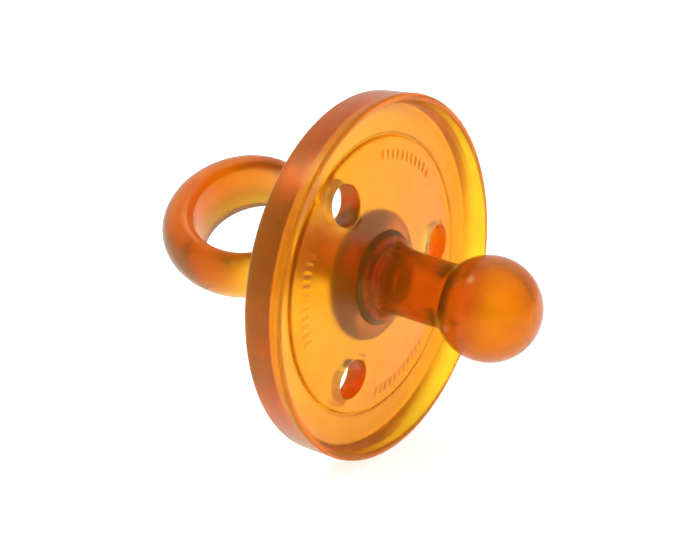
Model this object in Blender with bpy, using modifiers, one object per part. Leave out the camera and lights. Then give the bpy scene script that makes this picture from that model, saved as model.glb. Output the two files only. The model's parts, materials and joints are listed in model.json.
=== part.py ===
"""A round-shield rubber soother: a domed shield, a hollow teat on a flared collar, and a ring handle.

The teat's axis lies along +X with the bulb at +X, +Z is up, and the origin is the middle of the
object's box, which lies on that axis. The rubber bends at two waists, and each is a ball-shaped seam
between two pieces: one at the neck's root, one at the ring's foot. Lengths are in metres.
"""

import math

import bmesh
import bpy

MM = 0.001

# Shield. Axial places are measured from the front lip, positive towards the bulb.
SHIELD_RADIUS = 25.0 * MM
BACK_RADIUS = 24.75 * MM
LIP_INNER_RADIUS = 24.05 * MM
EDGE_ROUND = 0.35 * MM
SHIELD_BACK = -5.7 * MM
DOME_RADIUS = 120.0 * MM
FACE_CROWN = -1.05 * MM
BACK_CROWN = -4.0 * MM
MARGIN_FACE = -2.9 * MM
STEP_RADIUS = 19.2 * MM
STEP_WIDTH = 0.9 * MM
FILLET_RADIUS = 23.7 * MM
FILLET = -2.4 * MM
CENTRE_BORE_RADIUS = 3.2 * MM

# Vent holes, set round the axis. Angles are turned from +Y towards +Z.
VENT_COUNT = 3
VENT_RADIUS = 2.9 * MM
VENT_PITCH_RADIUS = 14.35 * MM
VENT_FIRST_ANGLE = math.radians(3.6)

# Collar that carries the teat, and the teat itself.
GAP = 0.3 * MM
TEAT_PIVOT = 0.5 * MM
TEAT_DROOP = math.radians(3.8)
TEAT_SEAM_RADIUS = 5.0 * MM
COLLAR_RADIUS = 6.6 * MM
NECK_RADIUS = 4.45 * MM
NECK_BORE_RADIUS = 3.0 * MM
BULB_RADIUS = 7.0 * MM
BULB_WALL = 1.4 * MM
PIVOT_TO_BULB = 14.63 * MM

# Stopper that closes the hollow teat from behind.
STOPPER_RADIUS = 2.9 * MM
STOPPER_RIB = 0.2 * MM
STOPPER_NOSE = 1.9 * MM

# Ring handle. Its distances are measured from the lip's centre along the leaning ring's own axis.
RING_ANGLE = math.radians(30.6)
RING_LEAN = math.radians(11.7)
RING_PIVOT = 8.6 * MM
RING_SEAM_RADIUS = 3.4 * MM
RING_HOLE_RADIUS = 8.1 * MM
RING_HOLE_CENTRE = 21.9 * MM
RING_OUTER_RADIUS = 11.15 * MM
RING_OUTER_CENTRE = 24.2 * MM
RING_HALF_WIDTH = 4.55 * MM
RING_ROOT_FLATNESS = 0.72
FOOT_RADIUS = 8.8 * MM
FOOT_THICKNESS = 1.2 * MM
FOOT_CORE_RADIUS = 5.4 * MM

# Facets.
TURN_STEPS = 64
SMALL_TURN_STEPS = 40
ARC_STEPS = 12

# Flat lands in the middle of the domed face and back, where the collar and the ring's foot sit.
LAND_MARGIN = 0.4 * MM
FACE_LAND_RADIUS = COLLAR_RADIUS + LAND_MARGIN
BACK_LAND_RADIUS = FOOT_RADIUS + LAND_MARGIN
FACE_LAND = FACE_CROWN - FACE_LAND_RADIUS**2 / (2 * DOME_RADIUS)
BACK_LAND = BACK_CROWN - BACK_LAND_RADIUS**2 / (2 * DOME_RADIUS)
BACK_DOME_EDGE = math.sqrt(2 * DOME_RADIUS * (BACK_CROWN - SHIELD_BACK))

# The box runs from the bulb's tip to the ring's far end, and the origin is half way between them.
BULB_TIP = TEAT_PIVOT + PIVOT_TO_BULB * math.cos(TEAT_DROOP) + BULB_RADIUS
RING_END_INNER = RING_HOLE_CENTRE + RING_HOLE_RADIUS
RING_END_THICKNESS = RING_OUTER_CENTRE + RING_OUTER_RADIUS - RING_END_INNER
RING_END = RING_END_INNER * math.cos(RING_LEAN) + math.hypot(
    RING_END_THICKNESS * math.cos(RING_LEAN), RING_HALF_WIDTH * math.sin(RING_LEAN)
)
LIP_X = (RING_END - BULB_TIP) / 2


def clear_scene():
    for obj in list(bpy.data.objects):
        bpy.data.objects.remove(obj)


def make_collection(name, hidden=False):
    collection = bpy.data.collections.new(name)
    bpy.context.scene.collection.children.link(collection)
    collection.hide_render = hidden
    return collection


def rubber(name, colour, roughness):
    material = bpy.data.materials.new(name)
    material.use_nodes = True
    shader = material.node_tree.nodes["Principled BSDF"]
    shader.inputs["Base Color"].default_value = (*colour, 1.0)
    shader.inputs["Roughness"].default_value = roughness
    shader.inputs["Metallic"].default_value = 0.0
    shader.inputs["Subsurface Weight"].default_value = 0.3
    return material


def add_object(name, mesh, collection, parent, material=None):
    obj = bpy.data.objects.new(name, mesh)
    collection.objects.link(obj)
    obj.parent = parent
    if material:
        mesh.materials.append(material)
        mesh.shade_smooth()
        mesh.set_sharp_from_angle(angle=math.radians(35))
    else:
        obj.hide_render = True
        obj.display_type = "WIRE"
    return obj


def add_empty(name, collection, parent, location, rotation):
    empty = bpy.data.objects.new(name, None)
    empty.empty_display_size = 5 * MM
    collection.objects.link(empty)
    empty.parent = parent
    empty.location = location
    empty.rotation_euler = rotation
    return empty


def arc(centre, radius, start, end, steps=ARC_STEPS):
    """Points of (radius, height) on an arc about (0, centre), at angles from the +height axis."""
    angles = [start + (end - start) * i / steps for i in range(steps + 1)]
    return [(radius * math.sin(a), centre + radius * math.cos(a)) for a in angles]


def profile_mesh(name, points):
    """An open or closed outline of (radius, height) points in the XZ plane, for a Screw modifier."""
    mesh = bpy.data.meshes.new(name)
    closed = points[0][0] > 0 or points[-1][0] > 0
    edges = [(i, i + 1) for i in range(len(points) - 1)]
    if closed:
        edges.append((len(points) - 1, 0))
    mesh.from_pydata([(r, 0.0, h) for r, h in points], edges, [])
    return mesh


def turn(obj, steps):
    screw = obj.modifiers.new("turned", "SCREW")
    screw.axis = "Z"
    screw.steps = steps
    screw.render_steps = steps
    screw.use_merge_vertices = True
    screw.merge_threshold = 0.00001
    screw.use_smooth_shade = True
    return screw


def boolean(obj, other, operation):
    modifier = obj.modifiers.new(f"{operation.lower()} {other.name}", "BOOLEAN")
    modifier.operation = operation
    modifier.solver = "EXACT"
    modifier.object = other


def cylinder_mesh(name, radius, low, high, segments):
    mesh = bpy.data.meshes.new(name)
    shape = bmesh.new()
    made = bmesh.ops.create_cone(
        shape,
        cap_ends=True,
        segments=segments,
        radius1=radius,
        radius2=radius,
        depth=high - low,
    )
    bmesh.ops.translate(shape, verts=made["verts"], vec=(0, 0, (low + high) / 2))
    shape.to_mesh(mesh)
    shape.free()
    return mesh


def dome(crown, start, end, steps):
    """Profile points on a shallow dome, from one radius to another."""
    radii = [start + (end - start) * i / steps for i in range(steps + 1)]
    return [(radius, crown - radius**2 / (2 * DOME_RADIUS)) for radius in radii]


def shield_profile():
    """The rim, the domed back and face with a flat land in each, and the step down to the margin."""
    step_top = STEP_RADIUS - STEP_WIDTH
    return [
        (LIP_INNER_RADIUS, 0.0),
        (SHIELD_RADIUS - EDGE_ROUND, 0.0),
        (SHIELD_RADIUS, -EDGE_ROUND),
        (BACK_RADIUS, SHIELD_BACK + 2 * EDGE_ROUND),
        (BACK_RADIUS - EDGE_ROUND, SHIELD_BACK + 0.5 * EDGE_ROUND),
        (BACK_RADIUS - 2 * EDGE_ROUND, SHIELD_BACK),
        *dome(BACK_CROWN, BACK_DOME_EDGE, BACK_LAND_RADIUS, 6),
        (CENTRE_BORE_RADIUS, BACK_LAND),
        (CENTRE_BORE_RADIUS, FACE_LAND),
        *dome(FACE_CROWN, FACE_LAND_RADIUS, step_top, 7),
        (STEP_RADIUS, MARGIN_FACE),
        (FILLET_RADIUS - 0.6 * MM, FILLET - 0.25 * MM),
        (FILLET_RADIUS, FILLET + 0.1 * MM),
    ]


def make_shield(parts, cutters, axis):
    material = rubber("shield_rubber", (0.80, 0.30, 0.03), 0.38)
    shield = add_object("shield", profile_mesh("shield", shield_profile()), parts, axis, material)
    turn(shield, TURN_STEPS)
    for i in range(VENT_COUNT):
        angle = VENT_FIRST_ANGLE + i * math.tau / VENT_COUNT
        mesh = cylinder_mesh(f"vent_cutter_{i + 1}", VENT_RADIUS, SHIELD_BACK - 2 * MM, 2 * MM, 32)
        cutter = add_object(mesh.name, mesh, cutters, axis)
        cutter.location = (
            VENT_PITCH_RADIUS * math.cos(angle),
            VENT_PITCH_RADIUS * math.sin(angle),
            0,
        )
        boolean(shield, cutter, "DIFFERENCE")


def collar_profile():
    """A flared boss: a ball-shaped end towards the teat, and a wide foot on the shield's face."""
    foot = FACE_LAND + GAP
    seam_start = math.asin(CENTRE_BORE_RADIUS / TEAT_SEAM_RADIUS)
    seam_end = math.radians(75)
    return [
        *arc(TEAT_PIVOT, TEAT_SEAM_RADIUS, seam_start, seam_end, 7),
        (5.0 * MM, 0.9 * MM),
        (5.25 * MM, 0.2 * MM),
        (5.75 * MM, -0.4 * MM),
        (COLLAR_RADIUS - 0.25 * MM, -0.75 * MM),
        (COLLAR_RADIUS, foot),
        (CENTRE_BORE_RADIUS, foot),
    ]


def teat_profile():
    """The hollow neck and bulb, about the pivot. The rear end is a ball-shaped cup, open inside."""
    crease = math.acos(math.sqrt(BULB_RADIUS**2 - NECK_RADIUS**2) / BULB_RADIUS)
    cavity_radius = BULB_RADIUS - BULB_WALL
    mouth = math.acos(math.sqrt(cavity_radius**2 - NECK_BORE_RADIUS**2) / cavity_radius)
    cup_radius = TEAT_SEAM_RADIUS + GAP
    cup_outer = math.asin(NECK_RADIUS / cup_radius)
    cup_inner = math.asin(NECK_BORE_RADIUS / cup_radius)
    return [
        *arc(PIVOT_TO_BULB, BULB_RADIUS, 0, math.pi - crease, 18),
        *arc(0, cup_radius, cup_outer, cup_inner, 4),
        *arc(PIVOT_TO_BULB, cavity_radius, math.pi - mouth, 0, 14),
    ]


def make_teat(parts, axis):
    collar_material = rubber("collar_rubber", (0.55, 0.13, 0.015), 0.25)
    collar = profile_mesh("teat_collar", collar_profile())
    turn(add_object("teat_collar", collar, parts, axis, collar_material), SMALL_TURN_STEPS)
    hinge = add_empty("teat_hinge", parts, axis, (0, 0, TEAT_PIVOT), (TEAT_DROOP, 0, 0))
    teat_material = rubber("teat_rubber", (0.85, 0.20, 0.01), 0.12)
    teat = add_object("teat", profile_mesh("teat", teat_profile()), parts, hinge, teat_material)
    turn(teat, SMALL_TURN_STEPS)


def stopper_profile():
    """A plug with a round nose and two ribs that grip the bore."""
    rib = STOPPER_RADIUS + STOPPER_RIB / 2
    waist = STOPPER_RADIUS - STOPPER_RIB
    nose = STOPPER_NOSE - 1.2 * MM
    return [
        (0.0, STOPPER_NOSE),
        (0.5 * STOPPER_RADIUS, STOPPER_NOSE - 0.15 * MM),
        (0.85 * STOPPER_RADIUS, STOPPER_NOSE - 0.55 * MM),
        (rib, nose),
        (waist, nose - 0.8 * MM),
        (waist, nose - 1.4 * MM),
        (rib, nose - 2.0 * MM),
        (waist, nose - 2.8 * MM),
        (waist, BACK_LAND + 0.4 * MM),
        (waist - 0.4 * MM, BACK_LAND),
        (0.0, BACK_LAND),
    ]


def make_stopper(parts, axis):
    material = rubber("stopper_rubber", (0.42, 0.07, 0.01), 0.35)
    stopper = add_object("stopper", profile_mesh("stopper", stopper_profile()), parts, axis, material)
    turn(stopper, SMALL_TURN_STEPS)


def foot_pad_profile():
    """The round pad on the shield's back, about the shield's axis."""
    top = BACK_LAND - GAP
    low = top - FOOT_THICKNESS
    return [
        (0.0, top),
        (FOOT_RADIUS, top),
        (FOOT_RADIUS, low + 0.4 * MM),
        (FOOT_RADIUS - 0.4 * MM, low),
        (0.0, low),
    ]


def foot_profile():
    """The pad's round end and flared skirt, about the ring's pivot with the shield at +height."""
    skirt = [
        (RING_SEAM_RADIUS + 0.3 * MM, 1.2 * MM),
        (4.6 * MM, 1.5 * MM),
        (FOOT_CORE_RADIUS, 2.2 * MM),
        (FOOT_CORE_RADIUS, 7.0 * MM),
        (0.0, 7.0 * MM),
    ]
    dome = arc(0, RING_SEAM_RADIUS, math.pi, math.radians(72), ARC_STEPS)
    return [(0.0, skirt[-1][1]), *reversed(skirt[:-1]), *reversed(dome)]


def ring_loop_mesh():
    """A loop of D sections: a straight inner wall round the finger hole and a rounded outside."""
    around, across = 56, 10
    inner_centre = RING_PIVOT - RING_HOLE_CENTRE
    outer_centre = RING_PIVOT - RING_OUTER_CENTRE
    inner_radius = RING_HOLE_RADIUS - 0.8 * MM
    shape = bmesh.new()
    sections = []
    for i in range(around):
        turned = math.tau * i / around
        direction = (math.cos(turned), math.sin(turned))
        start = (inner_radius * direction[0], inner_centre + inner_radius * direction[1])
        end = (
            RING_OUTER_RADIUS * direction[0],
            outer_centre + RING_OUTER_RADIUS * direction[1],
        )
        section = []
        for j in range(across + 1):
            swept = math.pi * j / across
            reach = math.sin(swept)
            side = RING_HALF_WIDTH * math.cos(swept)
            x = start[0] + reach * (end[0] - start[0])
            z = start[1] + reach * (end[1] - start[1])
            section.append(shape.verts.new((x, side, z)))
        sections.append(section)
    for i, section in enumerate(sections):
        following = sections[(i + 1) % around]
        for j in range(across + 1):
            k = (j + 1) % (across + 1)
            shape.faces.new((section[j], following[j], following[k], section[k]))
    bmesh.ops.recalc_face_normals(shape, faces=shape.faces)
    mesh = bpy.data.meshes.new("ring_handle")
    shape.to_mesh(mesh)
    shape.free()
    return mesh


def ring_root_profile():
    """The trumpet that joins the loop to its foot."""
    return [
        (0.0, -9.5 * MM),
        (0.0, -1.0 * MM),
        (3.7 * MM, -1.0 * MM),
        (3.7 * MM, -2.6 * MM),
        (4.0 * MM, -3.8 * MM),
        (4.8 * MM, -4.9 * MM),
        (6.1 * MM, -6.3 * MM),
        (6.4 * MM, -9.5 * MM),
    ][::-1]


def make_ring(parts, cutters, axis):
    hinge_place = (
        -RING_PIVOT * math.sin(RING_LEAN) * math.sin(RING_ANGLE),
        RING_PIVOT * math.sin(RING_LEAN) * math.cos(RING_ANGLE),
        -RING_PIVOT * math.cos(RING_LEAN),
    )
    hinge = add_empty("ring_hinge", parts, axis, hinge_place, (RING_LEAN, 0, RING_ANGLE))
    material = rubber("ring_rubber", (0.82, 0.28, 0.03), 0.3)

    foot_material = rubber("foot_rubber", (0.6, 0.16, 0.02), 0.35)
    foot = add_object("ring_foot", profile_mesh("ring_foot", foot_profile()), parts, hinge, foot_material)
    turn(foot, SMALL_TURN_STEPS)
    pad = add_object("foot_pad", profile_mesh("foot_pad", foot_pad_profile()), cutters, axis)
    turn(pad, SMALL_TURN_STEPS)
    boolean(foot, pad, "UNION")
    trim = cylinder_mesh("foot_trim", 2 * FOOT_RADIUS, BACK_LAND - GAP, 6 * MM, 24)
    boolean(foot, add_object("foot_trim", trim, cutters, axis), "DIFFERENCE")

    ring = add_object("ring_handle", ring_loop_mesh(), parts, hinge, material)
    root = add_object("ring_root", profile_mesh("ring_root", ring_root_profile()), cutters, hinge)
    root.scale = (1, RING_ROOT_FLATNESS, 1)
    turn(root, SMALL_TURN_STEPS)
    boolean(ring, root, "UNION")
    hole = cylinder_mesh("finger_hole", RING_HOLE_RADIUS, -8 * MM, 8 * MM, 56)
    hole = add_object("finger_hole", hole, cutters, hinge)
    hole.location = (0, 0, RING_PIVOT - RING_HOLE_CENTRE)
    hole.rotation_euler = (math.radians(90), 0, 0)
    boolean(ring, hole, "DIFFERENCE")
    ball = bpy.data.meshes.new("seam_ball")
    shape = bmesh.new()
    bmesh.ops.create_uvsphere(shape, u_segments=40, v_segments=24, radius=RING_SEAM_RADIUS + GAP)
    shape.to_mesh(ball)
    shape.free()
    boolean(ring, add_object("seam_ball", ball, cutters, hinge), "DIFFERENCE")


def main():
    clear_scene()
    parts = make_collection("pacifier")
    cutters = make_collection("cutters", hidden=True)
    axis = add_empty(
        "teat_axis", parts, None, (LIP_X, 0, 0), (math.radians(90), 0, math.radians(90))
    )
    make_shield(parts, cutters, axis)
    make_teat(parts, axis)
    make_stopper(parts, axis)
    make_ring(parts, cutters, axis)


main()
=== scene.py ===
"""Looks for the natural-rubber soother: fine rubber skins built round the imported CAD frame."""

import math

import bmesh
import bpy
import numpy as np
from mathutils import Matrix, Vector
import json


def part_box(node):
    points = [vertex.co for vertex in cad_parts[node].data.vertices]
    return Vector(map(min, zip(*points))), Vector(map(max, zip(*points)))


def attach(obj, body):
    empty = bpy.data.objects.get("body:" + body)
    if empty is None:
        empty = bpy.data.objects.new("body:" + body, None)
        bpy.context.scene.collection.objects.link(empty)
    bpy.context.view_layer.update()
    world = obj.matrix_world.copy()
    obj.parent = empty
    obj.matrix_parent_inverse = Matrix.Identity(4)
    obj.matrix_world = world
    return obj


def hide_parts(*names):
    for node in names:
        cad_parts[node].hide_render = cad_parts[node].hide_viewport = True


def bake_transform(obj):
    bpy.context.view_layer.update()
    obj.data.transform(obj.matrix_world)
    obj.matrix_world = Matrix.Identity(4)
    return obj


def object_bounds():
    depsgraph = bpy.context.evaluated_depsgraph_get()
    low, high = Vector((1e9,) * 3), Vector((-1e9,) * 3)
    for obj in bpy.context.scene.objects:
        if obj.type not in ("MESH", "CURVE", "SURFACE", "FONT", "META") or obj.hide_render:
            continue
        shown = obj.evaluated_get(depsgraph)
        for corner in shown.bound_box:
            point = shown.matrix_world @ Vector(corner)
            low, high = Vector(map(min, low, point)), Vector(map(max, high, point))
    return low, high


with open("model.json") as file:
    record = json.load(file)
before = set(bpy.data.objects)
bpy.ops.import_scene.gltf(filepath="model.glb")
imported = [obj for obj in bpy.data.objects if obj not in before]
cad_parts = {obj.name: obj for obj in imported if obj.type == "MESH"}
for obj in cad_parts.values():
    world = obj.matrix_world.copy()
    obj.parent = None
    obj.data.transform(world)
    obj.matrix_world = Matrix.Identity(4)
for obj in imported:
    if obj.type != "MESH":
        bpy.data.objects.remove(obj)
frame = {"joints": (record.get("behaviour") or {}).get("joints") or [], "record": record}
CAD_BOX = [list(corner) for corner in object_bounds()]

MM = 0.001
JOINTS = {joint["name"]: joint for joint in frame["joints"]}
MOUNTS = {mount["name"]: mount for mount in frame["record"]["mounts"]}

# The teat's axis is +X, and axial places are measured from the shield's front lip.
LIP_X = MOUNTS["rim_lip"]["pos_m"][0]
SHIELD_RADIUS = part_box("shield")[1].y
SHIELD_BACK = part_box("shield")[0].x - LIP_X
TEAT_PIVOT = Vector(JOINTS["teat_bend"]["pos_m"])
RING_PIVOT = Vector(JOINTS["ring_fold"]["pos_m"])
RING_AXIS = Vector(JOINTS["ring_fold"]["axis"])

# Shield: a shallow dome inside a raised rim, with a step down to a margin.
DOME_RADIUS = 120.0 * MM
FACE_CROWN = -1.05 * MM
BACK_CROWN = -4.0 * MM
MARGIN_FACE = -2.9 * MM
LIP_INNER_RADIUS = 24.05 * MM
STEP_RADIUS = 19.2 * MM
EDGE_ROUND = 0.7 * MM
STEP_WIDTH = 0.9 * MM
BORE_RADIUS = 3.2 * MM
SHIELD_SEGMENTS = 480

# Bonded faces are sunk this far into the shield, so that light meets no air between them.
SUNK = 0.15 * MM
LAND_MARGIN = 0.4 * MM

# Vent holes, turned from +Y towards +Z.
VENT_COUNT = 3
VENT_RADIUS = 2.75 * MM
VENT_PITCH_RADIUS = 14.35 * MM
VENT_FIRST_ANGLE = math.radians(3.6)
VENT_ROUND = 0.5 * MM
VENT_EDGE_LIFT = 0.35 * MM
VENT_CUTTER_MARGIN = 0.3 * MM
VENT_CUTTER_REACH = 2 * MM
VENT_SEGMENTS = 72

# Plain raised bars on the face, in three arcs, turned like the vents.
MARK_RADIUS = 16.6 * MM
MARK_ANGLES = [math.radians(angle) for angle in (66, 176, 289)]
MARK_BARS = 11
MARK_PITCH = math.radians(4.1)
MARK_HEIGHT = 0.13 * MM
MARK_REACH = 0.75 * MM
MARK_HALF_WIDTH = 0.36 * MM

# Teat.
TEAT_DROOP = math.radians(3.8)
PIVOT_TO_BULB = 14.63 * MM
BULB_RADIUS = 7.0 * MM
NECK_RADIUS = 4.45 * MM
NECK_BORE_RADIUS = 3.0 * MM
BULB_WALL = 1.4 * MM
COLLAR_RADIUS = 6.6 * MM
CREASE_BLEND = 0.10
TEAT_SEGMENTS = 160
TEAT_FLEX_START = -1.2 * MM
TEAT_FLEX_END = 5.0 * MM

# Stopper.
STOPPER_NOSE = 1.9 * MM
STOPPER_NOSE_ROUND = 0.5 * MM
STOPPER_NOSE_RADIUS = 2.2 * MM
STOPPER_ROOT_RADIUS = 2.72 * MM
STOPPER_RIB_RADIUS = 2.98 * MM
STOPPER_RIB_PITCH = 1.3 * MM
STOPPER_RIB_HALF_WIDTH = 0.4 * MM
STOPPER_END_RADIUS = 2.5 * MM
STOPPER_END_GAP = 0.1 * MM

# Ring handle, measured from its pivot along its own leaning axis.
RING_LEAN = math.radians(11.7)
PIVOT_FROM_LIP = 8.6 * MM
RING_HOLE_RADIUS = 8.1 * MM
RING_HOLE_CENTRE = 21.9 * MM - PIVOT_FROM_LIP
RING_OUTER_RADIUS = 11.15 * MM
RING_OUTER_CENTRE = 24.2 * MM - PIVOT_FROM_LIP
RING_HALF_WIDTH = 4.55 * MM
STEM_TOP = 4.5 * MM
STEM_BOTTOM = -4.9 * MM
STEM_FLATNESS = 0.74
STEM_FLATNESS_FADE = 2.6 * MM

# The ring's foot: a round pad on the shield's back.
FOOT_RADIUS = 8.8 * MM
FOOT_THICKNESS = 1.35 * MM
FOOT_ROUND = 0.6 * MM
FOOT_CROWN_RADIUS = 5.0 * MM
FOOT_CROWN = 0.15 * MM
FOOT_OVERLAP = 1.0 * MM
TRIM_TOP = 9 * MM
TRIM_RADIUS = 20 * MM

# Camera and floor.
CAMERA_TARGET = Vector((1.57, -3.10, 0.56)) * MM
CAMERA_DISTANCE = 221.4 * MM
CAMERA_DIRECTION = Vector((0.5455, -0.7715, 0.3275))
CAMERA_LENS = 85.16
FLOOR_DROP = 0.1 * MM
FLOOR_HALF_SIZE = 3.0
FLOOR_SHADE = (0.85, 0.85, 0.85, 1.0)
FLOOR_GLOW = 0.7

# Studio: the room is brightest in this direction.
BRIGHT_SIDE = (-0.62, 0.25, 0.74)
FADE_FROM = (-0.6, 0.8)
FADE_TO = (0.12, 0.9)
KEY_PLACE = Vector((-0.25, -0.10, 0.40))
KEY_SIZE = 0.12
KEY_WATTS = 0.4

# Rubber.
RUBBER_IOR = 1.42
SHINE_TINT = (1.0, 0.6, 0.2, 1.0)
SCATTER_COLOUR = (1.0, 0.35, 0.05)
SCATTER_REACH = 2.0 * MM
CLOUD_SCALE = 260.0
CLOUD_DETAIL = 8.0
CLOUD_RANGE = (0.36, 0.62)

# Latex is cloudy: its thickest clouds lose this share of the tint.
CLOUD_LOSS = 0.12
GRAIN_DETAIL = 4.0
GRAIN_DEPTH = 0.05 * MM


def dome_height(crown, radius):
    """The height from the lip of a dome with this crown, at this radius."""
    return crown - radius**2 / (2 * DOME_RADIUS)


FACE_LAND = dome_height(FACE_CROWN, COLLAR_RADIUS + LAND_MARGIN)
BACK_LAND = dome_height(BACK_CROWN, FOOT_RADIUS + LAND_MARGIN)
COLLAR_FOOT = FACE_LAND - SUNK
FOOT_TOP = BACK_LAND + SUNK


def smooth_step(value, low, high):
    """0 below low, 1 above high, and a smooth rise between them."""
    t = min(max((value - low) / (high - low), 0.0), 1.0)
    return t * t * (3 - 2 * t)


def arc(centre, radius, start, end, steps):
    """Points of (radius, height) on an arc about centre, at angles from the +height axis."""
    angles = [start + (end - start) * i / steps for i in range(steps + 1)]
    return [(centre[0] + radius * math.sin(a), centre[1] + radius * math.cos(a)) for a in angles]


def smooth_curve(points, per_span=6):
    """A smooth curve through (radius, height) points, by a Catmull-Rom rule."""
    found = []
    padded = [points[0], *points, points[-1]]
    for i in range(1, len(padded) - 2):
        a, b, c, d = (np.array(p) for p in padded[i - 1 : i + 3])
        for j in range(per_span):
            t = j / per_span
            square = (2 * a - 5 * b + 4 * c - d) * t**2
            cube = (3 * b - a - 3 * c + d) * t**3
            found.append(tuple(0.5 * (2 * b + (c - a) * t + square + cube)))
    found.append(tuple(points[-1]))
    return found


def rounded(points, radius, steps):
    """The same outline with each corner between its ends rounded by up to radius."""
    found = [points[0]]
    for i in range(1, len(points) - 1):
        before, here, after = (np.array(points[j]) for j in (i - 1, i, i + 1))
        sides = np.linalg.norm(before - here), np.linalg.norm(after - here)
        reach = min(radius, 0.45 * sides[0], 0.45 * sides[1])
        first = here + (before - here) / sides[0] * reach
        last = here + (after - here) / sides[1] * reach
        for j in range(steps + 1):
            t = j / steps
            found.append(tuple((1 - t) ** 2 * first + 2 * t * (1 - t) * here + t**2 * last))
    return [*found, points[-1]]


def lathe(name, outline, segments, closed=False):
    """A body turned about +Z from (radius, height) points; an open outline ends on the axis."""
    shape = bmesh.new()
    rings = []
    for radius, height in outline:
        if radius < 1e-7:
            rings.append([shape.verts.new((0, 0, height))])
            continue
        angles = [math.tau * i / segments for i in range(segments)]
        spots = [(radius * math.cos(a), radius * math.sin(a), height) for a in angles]
        rings.append([shape.verts.new(spot) for spot in spots])
    pairs = list(zip(rings, rings[1:]))
    if closed:
        pairs.append((rings[-1], rings[0]))
    for upper, lower in pairs:
        for i in range(segments):
            j = (i + 1) % segments
            above = upper[i % len(upper)], upper[j % len(upper)]
            below = lower[j % len(lower)], lower[i % len(lower)]
            corners = list(dict.fromkeys(above + below))
            if len(corners) > 2:
                shape.faces.new(corners)
    bmesh.ops.recalc_face_normals(shape, faces=shape.faces)
    mesh = bpy.data.meshes.new(name)
    shape.to_mesh(mesh)
    shape.free()
    mesh.shade_smooth()
    return mesh


def place(mesh, matrix):
    """A new object at the origin, whose mesh is moved by matrix."""
    mesh.transform(matrix)
    obj = bpy.data.objects.new(mesh.name, mesh)
    bpy.context.scene.collection.objects.link(obj)
    return obj


def axis_frame(origin, first, up):
    """A matrix whose X is first, whose Z is up, and whose place is origin."""
    matrix = Matrix.Identity(4)
    for column, vector in enumerate((first, up.cross(first), up, origin)):
        matrix.col[column][:3] = vector
    return matrix


PACIFIER = axis_frame(Vector((LIP_X, 0, 0)), Vector((0, 1, 0)), Vector((1, 0, 0)))
RING = (
    Matrix.Translation(RING_PIVOT)
    @ Matrix.Rotation(RING_LEAN, 4, RING_AXIS)
    @ axis_frame(Vector((0, 0, 0)), RING_AXIS, Vector((1, 0, 0)))
)


def combine(obj, other, operation):
    """The Boolean of two objects, kept in the first; the second is removed."""
    modifier = obj.modifiers.new(other.name, "BOOLEAN")
    modifier.operation = operation
    modifier.object = other
    graph = bpy.context.evaluated_depsgraph_get()
    mesh = bpy.data.meshes.new_from_object(obj.evaluated_get(graph), depsgraph=graph)
    old = obj.data
    obj.modifiers.clear()
    obj.data = mesh
    bpy.data.meshes.remove(old)
    mesh.name = obj.name
    bpy.data.objects.remove(other)


def noise_texture(material, scale, detail):
    """The output of a noise texture that stays with the object."""
    nodes, links = material.node_tree.nodes, material.node_tree.links
    where = nodes.new("ShaderNodeTexCoord")
    noise = nodes.new("ShaderNodeTexNoise")
    noise.inputs["Scale"].default_value = scale
    noise.inputs["Detail"].default_value = detail
    links.new(where.outputs["Object"], noise.inputs["Vector"])
    return noise.outputs["Fac"]


def deepen(material, absorbed):
    """Rubber that absorbs this much of red, green and blue in each millimetre of its depth."""
    nodes, links = material.node_tree.nodes, material.node_tree.links
    depth = nodes.new("ShaderNodeVolumeAbsorption")
    density = max(absorbed) * 1.05
    depth.inputs["Color"].default_value = (*[1 - a / density for a in absorbed], 1.0)
    depth.inputs["Density"].default_value = density / MM
    links.new(depth.outputs["Volume"], nodes["Material Output"].inputs["Volume"])


def rubber(name, tint, absorbed, roughness, clear, grain, grain_scale):
    """Translucent natural rubber, darker with depth, with cloudy latex and a moulded grain."""
    material = bpy.data.materials.new(name)
    material.use_nodes = True
    nodes, links = material.node_tree.nodes, material.node_tree.links
    shader = nodes["Principled BSDF"]
    shader.inputs["Roughness"].default_value = roughness
    shader.inputs["IOR"].default_value = RUBBER_IOR
    shader.inputs["Transmission Weight"].default_value = clear
    shader.inputs["Specular Tint"].default_value = SHINE_TINT
    shader.inputs["Subsurface Weight"].default_value = 1.0
    shader.inputs["Subsurface Radius"].default_value = SCATTER_COLOUR
    shader.inputs["Subsurface Scale"].default_value = SCATTER_REACH

    colours = nodes.new("ShaderNodeValToRGB")
    cloudy, plain = colours.color_ramp.elements
    cloudy.position, plain.position = CLOUD_RANGE
    cloudy.color = (*[c * (1 - CLOUD_LOSS) for c in tint], 1.0)
    plain.color = (*tint, 1.0)
    links.new(noise_texture(material, CLOUD_SCALE, CLOUD_DETAIL), colours.inputs["Fac"])
    links.new(colours.outputs["Color"], shader.inputs["Base Color"])

    bump = nodes.new("ShaderNodeBump")
    bump.inputs["Strength"].default_value = grain
    bump.inputs["Distance"].default_value = GRAIN_DEPTH
    links.new(noise_texture(material, grain_scale, GRAIN_DETAIL), bump.inputs["Height"])
    links.new(bump.outputs["Normal"], shader.inputs["Normal"])
    deepen(material, absorbed)
    return material


def finish_piece(obj, look, replaced):
    """Gives a piece its material and hides the CAD nodes that it stands for."""
    obj.data.materials.append(look)
    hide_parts(*replaced)


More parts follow.
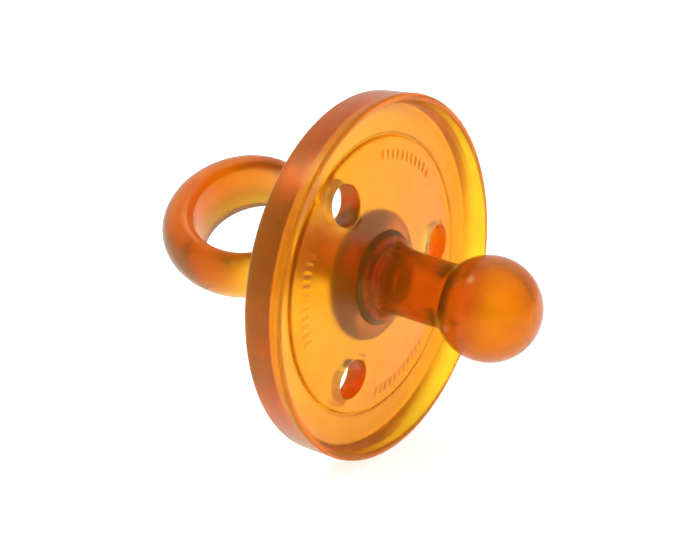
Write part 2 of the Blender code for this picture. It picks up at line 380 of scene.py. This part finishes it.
def shield_outline():
    """The section of the shield, from the lip round the back to the face, as a closed outline."""
    back_edge = math.sqrt(2 * DOME_RADIUS * (BACK_CROWN - SHIELD_BACK))
    rim = rounded(
        [
            (LIP_INNER_RADIUS - 0.08 * MM, -1.3 * MM),
            (LIP_INNER_RADIUS, 0.0),
            (SHIELD_RADIUS, 0.0),
            (SHIELD_RADIUS - 0.25 * MM, SHIELD_BACK),
            (back_edge, SHIELD_BACK),
        ],
        EDGE_ROUND,
        6,
    )
    back_rows = np.linspace(back_edge, FOOT_RADIUS + LAND_MARGIN, 16)
    back = [(radius, dome_height(BACK_CROWN, radius)) for radius in back_rows]
    lands = [
        (FOOT_RADIUS, BACK_LAND),
        (BORE_RADIUS, BACK_LAND),
        (BORE_RADIUS, FACE_LAND),
        (COLLAR_RADIUS, FACE_LAND),
    ]
    inner_rows = np.linspace(COLLAR_RADIUS + LAND_MARGIN, MARK_RADIUS - MARK_REACH - 0.2 * MM, 14)
    marked = MARK_REACH + 0.1 * MM
    marked_rows = np.linspace(MARK_RADIUS - marked, MARK_RADIUS + marked, 16)
    face_rows = (*inner_rows, *marked_rows)
    face = [(radius, dome_height(FACE_CROWN, radius)) for radius in face_rows]
    step_top = STEP_RADIUS - STEP_WIDTH
    margin = smooth_curve(
        [
            (step_top, dome_height(FACE_CROWN, step_top)),
            (STEP_RADIUS - 0.35 * MM, dome_height(FACE_CROWN, step_top) - 0.14 * MM),
            (STEP_RADIUS, MARGIN_FACE - 0.15 * MM),
            (STEP_RADIUS + 0.35 * MM, MARGIN_FACE - 0.02 * MM),
            (STEP_RADIUS + STEP_WIDTH, MARGIN_FACE + 0.05 * MM),
            (21.3 * MM, MARGIN_FACE + 0.12 * MM),
            (22.5 * MM, MARGIN_FACE + 0.38 * MM),
            (23.4 * MM, MARGIN_FACE + 0.85 * MM),
            (LIP_INNER_RADIUS - 0.12 * MM, -1.45 * MM),
        ],
        5,
    )
    return [tuple(map(float, point)) for point in (*rim[:-1], *back, *lands, *face, *margin)]


def raise_marks(mesh):
    """Raises rows of plain bars from the face, leaving the back alone."""
    middle_height = (dome_height(FACE_CROWN, MARK_RADIUS) + dome_height(BACK_CROWN, MARK_RADIUS)) / 2
    for vertex in mesh.vertices:
        spot = vertex.co
        radius = math.hypot(spot.x, spot.y)
        if spot.z < middle_height or abs(radius - MARK_RADIUS) > MARK_REACH:
            continue
        for middle in MARK_ANGLES:
            turned = (math.atan2(spot.y, spot.x) - middle + math.pi) % math.tau - math.pi
            bar = round(turned / MARK_PITCH)
            if abs(bar) > MARK_BARS // 2:
                continue
            aside = abs(turned - bar * MARK_PITCH) * radius / MARK_HALF_WIDTH
            along = abs(radius - MARK_RADIUS) / MARK_REACH
            spot.z += MARK_HEIGHT * max(0.0, 1 - aside**2) * max(0.0, 1 - along**6)


def vent_outline():
    """The section of a vent's cutter, which rounds the hole's edges at both faces."""
    mouth = dome_height(FACE_CROWN, VENT_PITCH_RADIUS) + VENT_EDGE_LIFT
    rear = dome_height(BACK_CROWN, VENT_PITCH_RADIUS) - VENT_EDGE_LIFT
    reach = VENT_RADIUS + VENT_ROUND
    side = reach + VENT_CUTTER_MARGIN
    return [
        (0.0, VENT_CUTTER_REACH),
        (side, VENT_CUTTER_REACH),
        (side, mouth),
        *arc((reach, mouth - VENT_ROUND), VENT_ROUND, 0, -math.pi / 2, 8),
        *arc((reach, rear + VENT_ROUND), VENT_ROUND, -math.pi / 2, -math.pi, 8),
        (side, rear),
        (side, SHIELD_BACK - VENT_CUTTER_REACH),
        (0.0, SHIELD_BACK - VENT_CUTTER_REACH),
    ]


def make_shield(look):
    shield = place(lathe("shield_guard", shield_outline(), SHIELD_SEGMENTS, True), Matrix())
    raise_marks(shield.data)
    for i in range(VENT_COUNT):
        angle = VENT_FIRST_ANGLE + i * math.tau / VENT_COUNT
        x, y = VENT_PITCH_RADIUS * math.cos(angle), VENT_PITCH_RADIUS * math.sin(angle)
        cutter = lathe(f"vent_cutter_{i + 1}", vent_outline(), VENT_SEGMENTS)
        combine(shield, place(cutter, Matrix.Translation((x, y, 0))), "DIFFERENCE")
    shield.data.transform(PACIFIER)
    shield.data.shade_smooth()
    finish_piece(shield, look, ["shield"])
    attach(shield, "shield")


def teat_outline():
    """Collar, neck and bulb as one hollow skin, with heights from the lip."""
    middle = TEAT_PIVOT.x - LIP_X + PIVOT_TO_BULB
    crease = math.acos(math.sqrt(BULB_RADIUS**2 - NECK_RADIUS**2) / BULB_RADIUS)
    neck_top = middle - BULB_RADIUS * math.cos(crease)
    bulb = arc((0, middle), BULB_RADIUS, 0, math.pi - crease - CREASE_BLEND, 40)
    neck = smooth_curve(
        [
            (NECK_RADIUS + 0.12 * MM, neck_top - 0.1 * MM),
            (NECK_RADIUS, neck_top - 0.9 * MM),
            (NECK_RADIUS, 6.5 * MM),
            (NECK_RADIUS + 0.02 * MM, 3.6 * MM),
            (NECK_RADIUS + 0.12 * MM, 2.2 * MM),
            (NECK_RADIUS + 0.4 * MM, 1.0 * MM),
            (NECK_RADIUS + 0.85 * MM, 0.1 * MM),
            (COLLAR_RADIUS - 0.75 * MM, -0.55 * MM),
            (COLLAR_RADIUS - 0.25 * MM, -0.95 * MM),
            (COLLAR_RADIUS, COLLAR_FOOT),
        ],
        7,
    )
    cavity = BULB_RADIUS - BULB_WALL
    mouth = math.acos(math.sqrt(cavity**2 - NECK_BORE_RADIUS**2) / cavity)
    inner = [
        (BORE_RADIUS, COLLAR_FOOT),
        (BORE_RADIUS, 1.0 * MM),
        (BORE_RADIUS - 0.05 * MM, 3.0 * MM),
        (NECK_BORE_RADIUS, 6.0 * MM),
    ]
    inside = arc((0, middle), cavity, math.pi - mouth, 0, 30)
    return [(max(radius, 0.0), height) for radius, height in (*bulb, *neck, *inner, *inside)]


def droop(mesh):
    """The teat hangs a little: the neck curves down over its root."""
    for vertex in mesh.vertices:
        ahead = vertex.co.x - TEAT_PIVOT.x
        bend = TEAT_DROOP * smooth_step(ahead, TEAT_FLEX_START, TEAT_FLEX_END)
        turn = Matrix.Rotation(bend, 4, "Y")
        vertex.co = TEAT_PIVOT + turn @ (vertex.co - TEAT_PIVOT)


def make_teat(look):
    teat = place(lathe("teat_skin", teat_outline(), TEAT_SEGMENTS), PACIFIER)
    droop(teat.data)
    finish_piece(teat, look, ["teat", "teat_collar"])
    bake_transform(teat)


def make_stopper(look):
    """A plug with a blunt nose and ribs that grip the bore."""
    first, last = STOPPER_NOSE - 1.0 * MM, FOOT_TOP + 0.8 * MM
    ribs = []
    for height in np.arange(first, last, -STOPPER_RIB_PITCH):
        ribs += [
            (STOPPER_ROOT_RADIUS, height + STOPPER_RIB_HALF_WIDTH),
            (STOPPER_RIB_RADIUS, height),
            (STOPPER_ROOT_RADIUS, height - STOPPER_RIB_HALF_WIDTH),
        ]
    round_centre = (STOPPER_NOSE_RADIUS, STOPPER_NOSE - STOPPER_NOSE_ROUND)
    outline = [
        (0.0, STOPPER_NOSE),
        *arc(round_centre, STOPPER_NOSE_ROUND, 0, math.pi / 2, 8),
        *smooth_curve(ribs, 4),
        (STOPPER_END_RADIUS, FOOT_TOP + STOPPER_END_GAP),
        (0.0, FOOT_TOP + STOPPER_END_GAP),
    ]
    outline = [tuple(map(float, point)) for point in outline]
    stopper = place(lathe("stopper_plug", outline, 96), PACIFIER)
    finish_piece(stopper, look, ["stopper"])
    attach(stopper, "shield")


def ring_loop():
    """A loop of D sections round the finger hole, thicker towards its far end."""
    around, across, along = 160, 22, 8
    shape = bmesh.new()
    sections = []
    for i in range(around):
        turned = math.tau * i / around
        cos, sin = math.cos(turned), math.sin(turned)
        inner = (RING_HOLE_RADIUS * cos, -RING_HOLE_CENTRE + RING_HOLE_RADIUS * sin)
        outer = (RING_OUTER_RADIUS * cos, -RING_OUTER_CENTRE + RING_OUTER_RADIUS * sin)
        section = []
        for j in range(across + 1):
            swept = math.pi * j / across
            reach = math.sin(swept)
            x = inner[0] + reach * (outer[0] - inner[0])
            z = inner[1] + reach * (outer[1] - inner[1])
            section.append(shape.verts.new((x, RING_HALF_WIDTH * math.cos(swept), z)))
        for j in range(1, along):
            side = RING_HALF_WIDTH * (2 * j / along - 1)
            section.append(shape.verts.new((inner[0], side, inner[1])))
        sections.append(section)
    for i, section in enumerate(sections):
        following = sections[(i + 1) % around]
        for j in range(len(section)):
            k = (j + 1) % len(section)
            shape.faces.new((section[j], following[j], following[k], section[k]))
    bmesh.ops.recalc_face_normals(shape, faces=shape.faces)
    mesh = bpy.data.meshes.new("ring_skin")
    shape.to_mesh(mesh)
    shape.free()
    return mesh


def ring_stem():
    """The waisted stem between the loop and its foot, flatter than it is wide."""
    outline = smooth_curve(
        [
            (5.6 * MM, STEM_TOP),
            (5.5 * MM, 2.9 * MM),
            (4.7 * MM, 1.7 * MM),
            (3.8 * MM, 0.5 * MM),
            (3.6 * MM, -1.0 * MM),
            (3.7 * MM, -2.6 * MM),
            (4.1 * MM, -3.8 * MM),
            (4.9 * MM, STEM_BOTTOM),
        ],
        5,
    )
    mesh = lathe("ring_stem", [(0.0, STEM_TOP), *outline, (0.0, STEM_BOTTOM)], 96)
    for vertex in mesh.vertices:
        t = smooth_step(vertex.co.z, 0.0, STEM_FLATNESS_FADE)
        vertex.co.y *= STEM_FLATNESS + (1 - STEM_FLATNESS) * t
    return mesh


def ring_pad():
    """The foot's pad, which runs up into the shield until it is trimmed."""
    low = FOOT_TOP - FOOT_THICKNESS
    round_centre = (FOOT_RADIUS - FOOT_ROUND, low + FOOT_ROUND)
    outline = [
        (0.0, FOOT_TOP + FOOT_OVERLAP),
        (FOOT_RADIUS, FOOT_TOP + FOOT_OVERLAP),
        *arc(round_centre, FOOT_ROUND, math.pi / 2, math.pi, 8),
        (FOOT_CROWN_RADIUS, low - FOOT_CROWN),
        (0.0, low - FOOT_CROWN),
    ]
    return lathe("ring_pad", outline, 160)


def make_ring(look):
    """The loop, its stem and its foot in one, cut off level where the foot meets the shield."""
    ring = place(ring_loop(), RING)
    combine(ring, place(ring_stem(), RING), "UNION")
    ring.data.transform(PACIFIER.inverted())
    combine(ring, place(ring_pad(), Matrix()), "UNION")
    above = [(0.0, TRIM_TOP), (TRIM_RADIUS, TRIM_TOP), (TRIM_RADIUS, FOOT_TOP), (0.0, FOOT_TOP)]
    combine(ring, place(lathe("ring_trim", above, 48), Matrix()), "DIFFERENCE")
    ring.data.transform(PACIFIER)
    ring.data.shade_smooth()
    finish_piece(ring, look, ["ring_foot", "ring_handle"])
    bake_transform(ring)


def make_floor():
    shape = bmesh.new()
    bmesh.ops.create_grid(shape, x_segments=1, y_segments=1, size=FLOOR_HALF_SIZE)
    mesh = bpy.data.meshes.new("floor")
    shape.to_mesh(mesh)
    shape.free()
    floor = place(mesh, Matrix.Translation((0, 0, CAD_BOX[0][2] - FLOOR_DROP)))
    material = bpy.data.materials.new("floor_paper")
    material.use_nodes = True
    shader = material.node_tree.nodes["Principled BSDF"]
    shader.inputs["Base Color"].default_value = FLOOR_SHADE
    shader.inputs["Roughness"].default_value = 0.9
    shader.inputs["Emission Color"].default_value = (1, 1, 1, 1)
    shader.inputs["Emission Strength"].default_value = FLOOR_GLOW
    mesh.materials.append(material)


def make_camera():
    camera = bpy.data.objects.new("camera", bpy.data.cameras.new("camera"))
    bpy.context.scene.collection.objects.link(camera)
    direction = CAMERA_DIRECTION.normalized()
    camera.location = CAMERA_TARGET + direction * CAMERA_DISTANCE
    camera.rotation_euler = direction.to_track_quat("Z", "Y").to_euler()
    camera.data.lens = CAMERA_LENS
    camera.data.clip_start = 5 * MM
    bpy.context.scene.camera = camera


def soft_box(name, origin, size, watts):
    """A round lamp that shines at the object's middle."""
    light = bpy.data.objects.new(name, bpy.data.lights.new(name, "AREA"))
    bpy.context.scene.collection.objects.link(light)
    light.data.shape = "DISK"
    light.data.size = size
    light.data.energy = watts
    light.location = origin
    light.rotation_euler = origin.to_track_quat("Z", "Y").to_euler()


def make_studio():
    """A white room, brighter above and behind the object than on the camera's side."""
    world = bpy.data.worlds.new("studio")
    bpy.context.scene.world = world
    world.use_nodes = True
    nodes, links = world.node_tree.nodes, world.node_tree.links
    where = nodes.new("ShaderNodeTexCoord")
    facing = nodes.new("ShaderNodeVectorMath")
    facing.operation = "DOT_PRODUCT"
    facing.inputs[1].default_value = BRIGHT_SIDE
    links.new(where.outputs["Generated"], facing.inputs[0])
    fade = nodes.new("ShaderNodeMapRange")
    fade.interpolation_type = "SMOOTHSTEP"
    fade.inputs["From Min"].default_value = FADE_FROM[0]
    fade.inputs["From Max"].default_value = FADE_FROM[1]
    fade.inputs["To Min"].default_value = FADE_TO[0]
    fade.inputs["To Max"].default_value = FADE_TO[1]
    links.new(facing.outputs["Value"], fade.inputs["Value"])
    nodes["Background"].inputs["Color"].default_value = (1.0, 1.0, 1.0, 1.0)
    links.new(fade.outputs["Result"], nodes["Background"].inputs["Strength"])
    soft_box("key_light", KEY_PLACE, KEY_SIZE, KEY_WATTS)


satin = rubber(
    "satin_rubber_look",
    tint=(1.0, 0.8, 0.05),
    absorbed=(0.012, 0.22, 0.6),
    roughness=0.28,
    clear=0.91,
    grain=0.5,
    grain_scale=2600.0,
)
# Painted shade: the ring's copy of the satin rubber absorbs more in each millimetre, so the ring
# reads darker than the shield, though both are the same rubber.
shaded_satin = rubber(
    "shaded_satin_look",
    tint=(1.0, 0.8, 0.06),
    absorbed=(0.06, 0.3, 0.8),
    roughness=0.28,
    clear=0.91,
    grain=0.5,
    grain_scale=2600.0,
)
# Part painted shade: the teat's rubber absorbs more than the shield's, so the bulb's thick edges
# read dark. The glossier finish is the teat's own.
gloss = rubber(
    "gloss_rubber_look",
    tint=(1.0, 0.8, 0.08),
    absorbed=(0.06, 0.42, 1.2),
    roughness=0.2,
    clear=0.94,
    grain=0.15,
    grain_scale=2800.0,
)
core = rubber(
    "core_rubber_look",
    tint=(1.0, 0.6, 0.05),
    absorbed=(0.05, 0.36, 1.0),
    roughness=0.2,
    clear=0.93,
    grain=0.15,
    grain_scale=2800.0,
)

make_shield(satin)
make_teat(gloss)
make_stopper(core)
make_ring(shaded_satin)
make_floor()
make_camera()
make_studio()
bpy.context.scene.view_settings.view_transform = "Standard"
